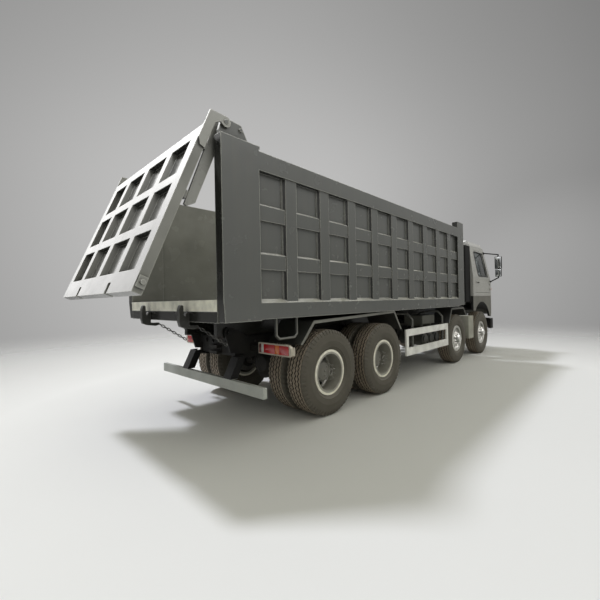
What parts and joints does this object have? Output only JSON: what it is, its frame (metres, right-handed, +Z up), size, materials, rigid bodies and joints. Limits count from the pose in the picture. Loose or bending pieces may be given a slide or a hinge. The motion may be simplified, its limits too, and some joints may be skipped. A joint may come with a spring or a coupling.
{
  "type": "dump truck",
  "caption": "Heavy tipper truck with a ribbed steel box bed, a top-hung tailgate standing open, steered front axles, twin rear wheels and a tilting cab.",
  "frame": {"origin": "on the ground under the middle of the bounding box", "axes": "+X forward towards the cab, +Y to the truck's left, +Z up"},
  "size_m": [10.262, 2.98, 3.3563],
  "materials": {
    "frame_paint": "satin",
    "cast_black": "matte",
    "engine_paint": "satin",
    "tank_metal": "satin",
    "box_paint": "satin",
    "guard_paint": "satin",
    "lamp_red": "gloss",
    "lamp_clear": "gloss",
    "black_plastic": "matte",
    "bed_paint": "semi-gloss",
    "hook_steel": "satin",
    "hoist_paint": "satin",
    "rod_steel": "polished",
    "cab_paint": "gloss",
    "glass": "gloss",
    "interior": "matte",
    "seat_cloth": "woven",
    "fender_grey": "satin",
    "rim_paint": "satin",
    "tyre": "matte"
  },
  "bodies": {
    "chassis": {"chassis_frame": "frame_paint", "front_axles": "cast_black", "leaf_springs": "cast_black", "rear_axles": "cast_black", "engine": "engine_paint", "tanks": "tank_metal", "side_boxes": "box_paint", "guard_rails": "guard_paint", "underrun": "guard_paint", "rear_lamps": "lamp_red", "axle_mudguards": "black_plastic", "bumper": "black_plastic", "headlamps": "lamp_clear"},
    "bed": {"bed_floor": "bed_paint", "bed_side_left": "bed_paint", "bed_side_right": "bed_paint", "bed_front": "bed_paint", "bed_mudguards": "black_plastic", "latch_hooks": "hook_steel"},
    "tailgate": {"tailgate": "bed_paint", "tailgate_arms": "bed_paint"},
    "hoist_barrel": {"hoist_barrel": "hoist_paint"},
    "hoist_stage_1": {"hoist_stage_1": "rod_steel"},
    "hoist_stage_2": {"hoist_stage_2": "rod_steel"},
    "hoist_stage_3": {"hoist_stage_3": "rod_steel"},
    "cab": {"cab_floor": "cab_paint", "cab_sides": "cab_paint", "cab_back": "cab_paint", "cab_roof": "cab_paint", "cab_front": "cab_paint", "cab_glass": "glass", "cab_trim": "black_plastic", "mirrors": "black_plastic", "dashboard": "interior", "seats": "seat_cloth", "cab_arches": "fender_grey"},
    "door_left": {"door_left": "cab_paint", "door_glass_left": "glass"},
    "door_right": {"door_right": "cab_paint", "door_glass_right": "glass"},
    "knuckle_1_left": {"knuckle_1_left": "cast_black"},
    "knuckle_1_right": {"knuckle_1_right": "cast_black"},
    "knuckle_2_left": {"knuckle_2_left": "cast_black"},
    "knuckle_2_right": {"knuckle_2_right": "cast_black"},
    "wheel_1_left": {"rim_1_left": "rim_paint", "tyre_1_left": "tyre"},
    "wheel_1_right": {"rim_1_right": "rim_paint", "tyre_1_right": "tyre"},
    "wheel_2_left": {"rim_2_left": "rim_paint", "tyre_2_left": "tyre"},
    "wheel_2_right": {"rim_2_right": "rim_paint", "tyre_2_right": "tyre"},
    "wheel_3_left": {"rim_3_left": "rim_paint", "tyre_3_left": "tyre"},
    "wheel_3_right": {"rim_3_right": "rim_paint", "tyre_3_right": "tyre"},
    "wheel_4_left": {"rim_4_left": "rim_paint", "tyre_4_left": "tyre"},
    "wheel_4_right": {"rim_4_right": "rim_paint", "tyre_4_right": "tyre"}
  },
  "joints": [
    {"name": "bed_tip", "type": "hinge", "parent": "chassis", "child": "bed", "pos_m": [-3.71899, 0, 1.135], "axis": [0, -1, 0], "range_deg": [0, 46]},
    {"name": "tailgate_hinge", "type": "hinge", "parent": "bed", "child": "tailgate", "pos_m": [-4.21899, 0, 3.294], "axis": [0, 1, 0], "range_deg": [-23, 52]},
    {"name": "hoist_swing", "type": "hinge", "parent": "chassis", "child": "hoist_barrel", "pos_m": [2.69101, 0, 0.95], "axis": [0, -1, 0], "range_deg": [0, 28.81]},
    {"name": "hoist_slide_1", "type": "slide", "parent": "hoist_barrel", "child": "hoist_stage_1", "axis": [0, 0, 1], "range_m": [0, 1.6316]},
    {"name": "hoist_slide_2", "type": "slide", "parent": "hoist_stage_1", "child": "hoist_stage_2", "axis": [0, 0, 1], "range_m": [0, 1.6316]},
    {"name": "hoist_slide_3", "type": "slide", "parent": "hoist_stage_2", "child": "hoist_stage_3", "axis": [0, 0, 1], "range_m": [0, 1.6316]},
    {"name": "cab_tilt", "type": "hinge", "parent": "chassis", "child": "cab", "pos_m": [4.88101, 0, 1], "axis": [0, 1, 0], "range_deg": [0, 45]},
    {"name": "door_left_hinge", "type": "hinge", "parent": "cab", "child": "door_left", "pos_m": [4.63401, 1.18, 1.8], "axis": [0, 0, -1], "range_deg": [0, 68]},
    {"name": "door_right_hinge", "type": "hinge", "parent": "cab", "child": "door_right", "pos_m": [4.63401, -1.18, 1.8], "axis": [0, 0, 1], "range_deg": [0, 68]},
    {"name": "steer_1_left", "type": "hinge", "parent": "chassis", "child": "knuckle_1_left", "pos_m": [3.91701, 0.765, 0.5625], "axis": [0, 0, 1], "range_deg": [-35, 35]},
    {"name": "steer_1_right", "type": "hinge", "parent": "chassis", "child": "knuckle_1_right", "pos_m": [3.91701, -0.765, 0.5625], "axis": [0, 0, 1], "range_deg": [-35, 35]},
    {"name": "steer_2_left", "type": "hinge", "parent": "chassis", "child": "knuckle_2_left", "pos_m": [2.11701, 0.765, 0.5625], "axis": [0, 0, 1], "range_deg": [-26.25, 26.25]},
    {"name": "steer_2_right", "type": "hinge", "parent": "chassis", "child": "knuckle_2_right", "pos_m": [2.11701, -0.765, 0.5625], "axis": [0, 0, 1], "range_deg": [-26.25, 26.25]},
    {"name": "spin_1_left", "type": "hinge", "parent": "knuckle_1_left", "child": "wheel_1_left", "pos_m": [3.91701, 1.005, 0.5625], "axis": [0, 1, 0], "continuous": true},
    {"name": "spin_1_right", "type": "hinge", "parent": "knuckle_1_right", "child": "wheel_1_right", "pos_m": [3.91701, -1.005, 0.5625], "axis": [0, 1, 0], "continuous": true},
    {"name": "spin_2_left", "type": "hinge", "parent": "knuckle_2_left", "child": "wheel_2_left", "pos_m": [2.11701, 1.005, 0.5625], "axis": [0, 1, 0], "continuous": true},
    {"name": "spin_2_right", "type": "hinge", "parent": "knuckle_2_right", "child": "wheel_2_right", "pos_m": [2.11701, -1.005, 0.5625], "axis": [0, 1, 0], "continuous": true},
    {"name": "spin_3_left", "type": "hinge", "parent": "chassis", "child": "wheel_3_left", "pos_m": [-1.31899, 0.91, 0.5625], "axis": [0, 1, 0], "continuous": true},
    {"name": "spin_3_right", "type": "hinge", "parent": "chassis", "child": "wheel_3_right", "pos_m": [-1.31899, -0.91, 0.5625], "axis": [0, 1, 0], "continuous": true},
    {"name": "spin_4_left", "type": "hinge", "parent": "chassis", "child": "wheel_4_left", "pos_m": [-2.66899, 0.91, 0.5625], "axis": [0, 1, 0], "continuous": true},
    {"name": "spin_4_right", "type": "hinge", "parent": "chassis", "child": "wheel_4_right", "pos_m": [-2.66899, -0.91, 0.5625], "axis": [0, 1, 0], "continuous": true}
  ],
  "couplings": [
    {"joint": "hoist_swing", "follows": "bed_tip", "ratio": 0.61547},
    {"joint": "hoist_slide_1", "follows": "bed_tip", "m_per_rad": 2.026},
    {"joint": "hoist_slide_2", "follows": "bed_tip", "m_per_rad": 2.026},
    {"joint": "hoist_slide_3", "follows": "bed_tip", "m_per_rad": 2.026},
    {"joint": "steer_1_right", "follows": "steer_1_left", "ratio": 1},
    {"joint": "steer_2_left", "follows": "steer_1_left", "ratio": 0.75},
    {"joint": "steer_2_right", "follows": "steer_1_left", "ratio": 0.75}
  ]
}
